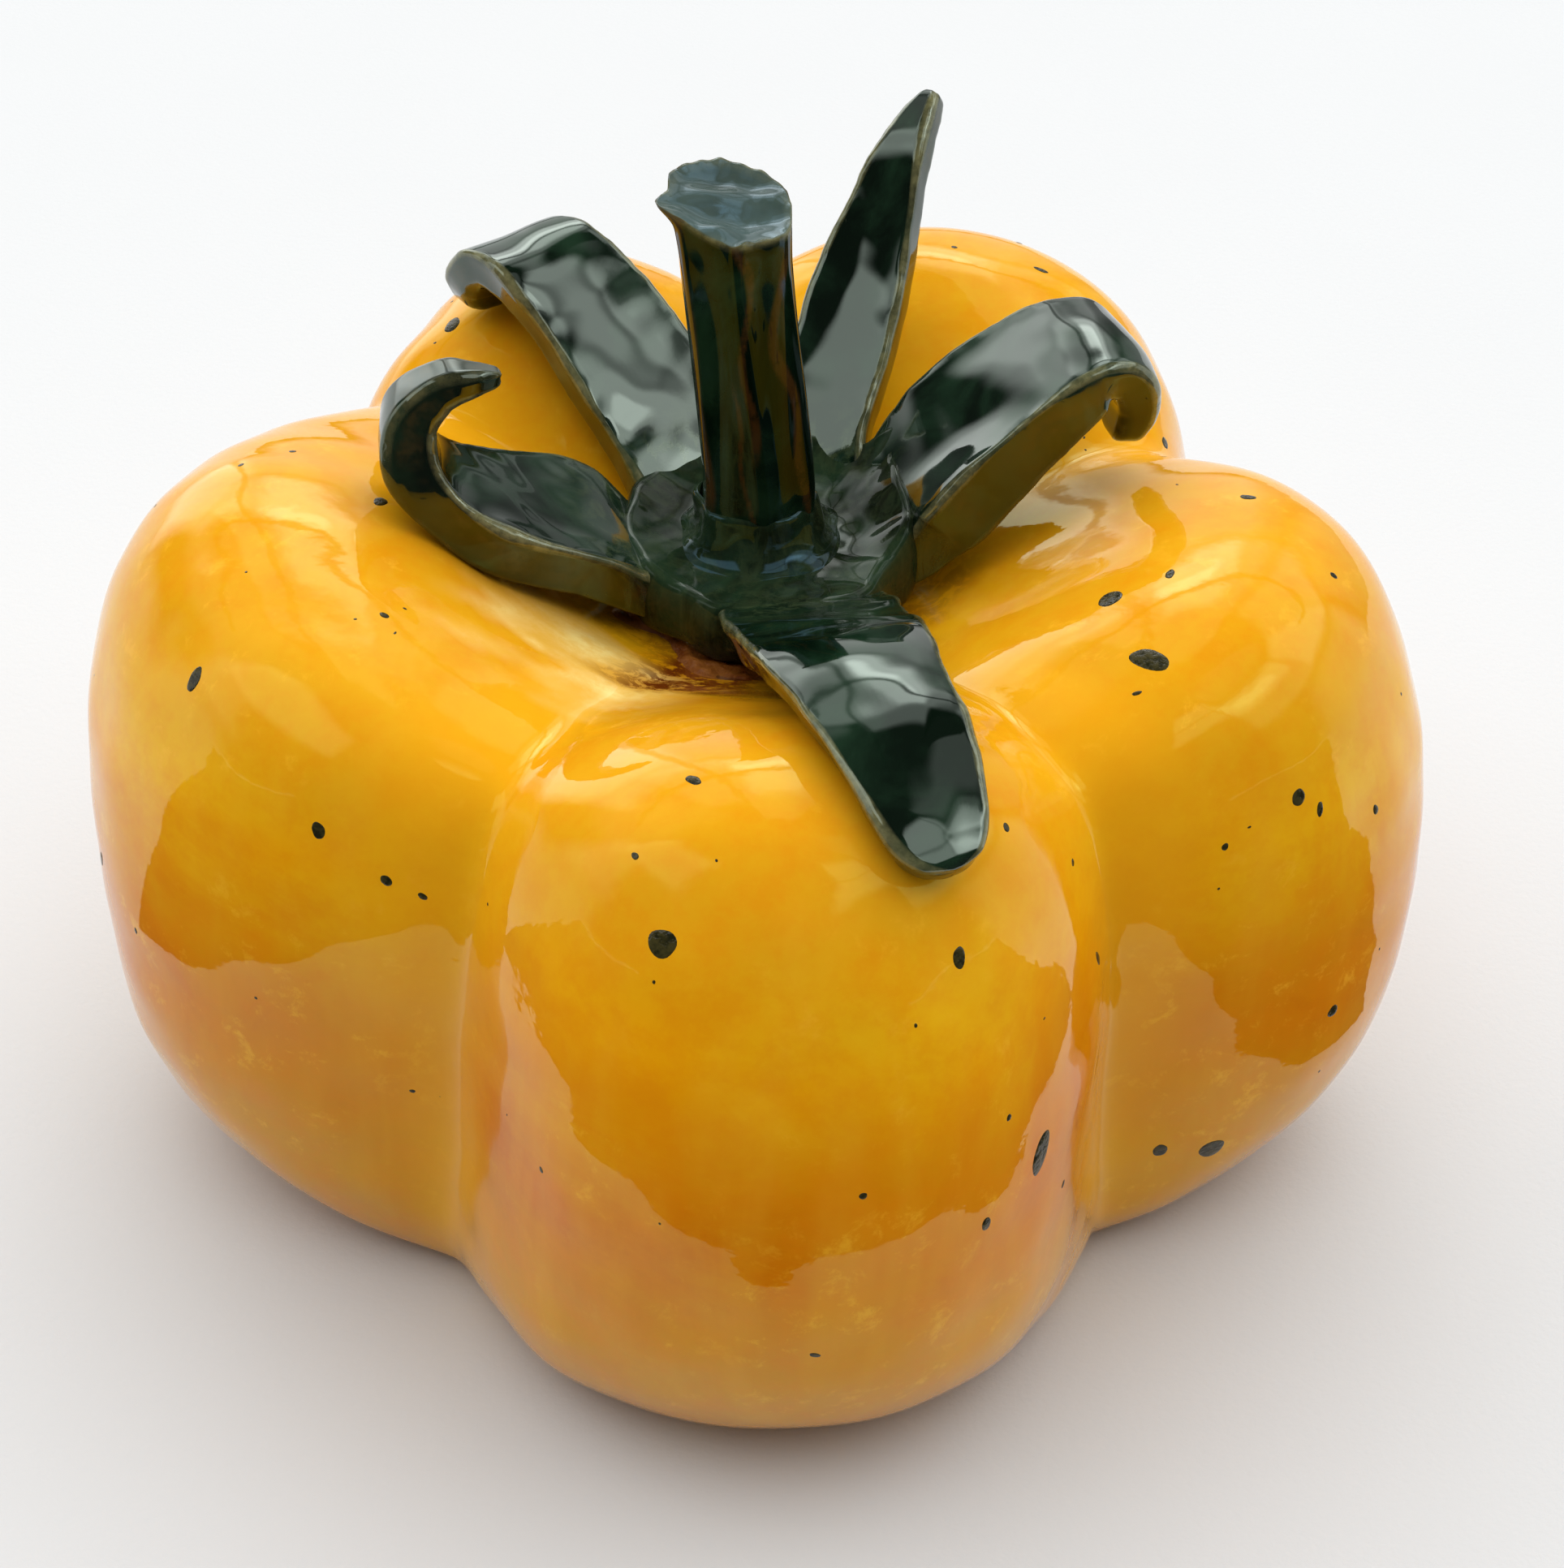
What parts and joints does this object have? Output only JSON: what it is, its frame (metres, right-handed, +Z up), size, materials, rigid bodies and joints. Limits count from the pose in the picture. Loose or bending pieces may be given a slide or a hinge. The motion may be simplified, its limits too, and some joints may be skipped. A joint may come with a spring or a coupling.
{
  "type": "ceramic pumpkin figure",
  "caption": "Hollow lobed ceramic pumpkin with a flat foot, a cut-slab calyx of curling sepals and an upright stalk.",
  "frame": {"origin": "middle of the flat foot, on the surface the figure stands on", "axes": "+Z up through the stalk, -Y towards the front lobe, +X towards the right lobe"},
  "size_m": [0.1057, 0.1033, 0.0818],
  "materials": {
    "body_glaze": "high-gloss amber yellow glaze with iron specks",
    "bare_clay": "unglazed buff clay",
    "iron_slip": "matt rust-brown slip",
    "calyx_glaze": "high-gloss dark green glaze breaking to olive on edges",
    "stalk_glaze": "high-gloss black-green glaze with rust-brown streaks"
  },
  "bodies": {
    "root": {"body_shell": "body_glaze", "base_slab": "bare_clay", "luting_pad": "iron_slip", "calyx_hub": "calyx_glaze", "sepal_front": "calyx_glaze", "sepal_right": "calyx_glaze", "sepal_back": "calyx_glaze", "sepal_back_left": "calyx_glaze", "sepal_left": "calyx_glaze", "stalk": "stalk_glaze", "stalk_collar": "stalk_glaze"}
  },
  "joints": []
}
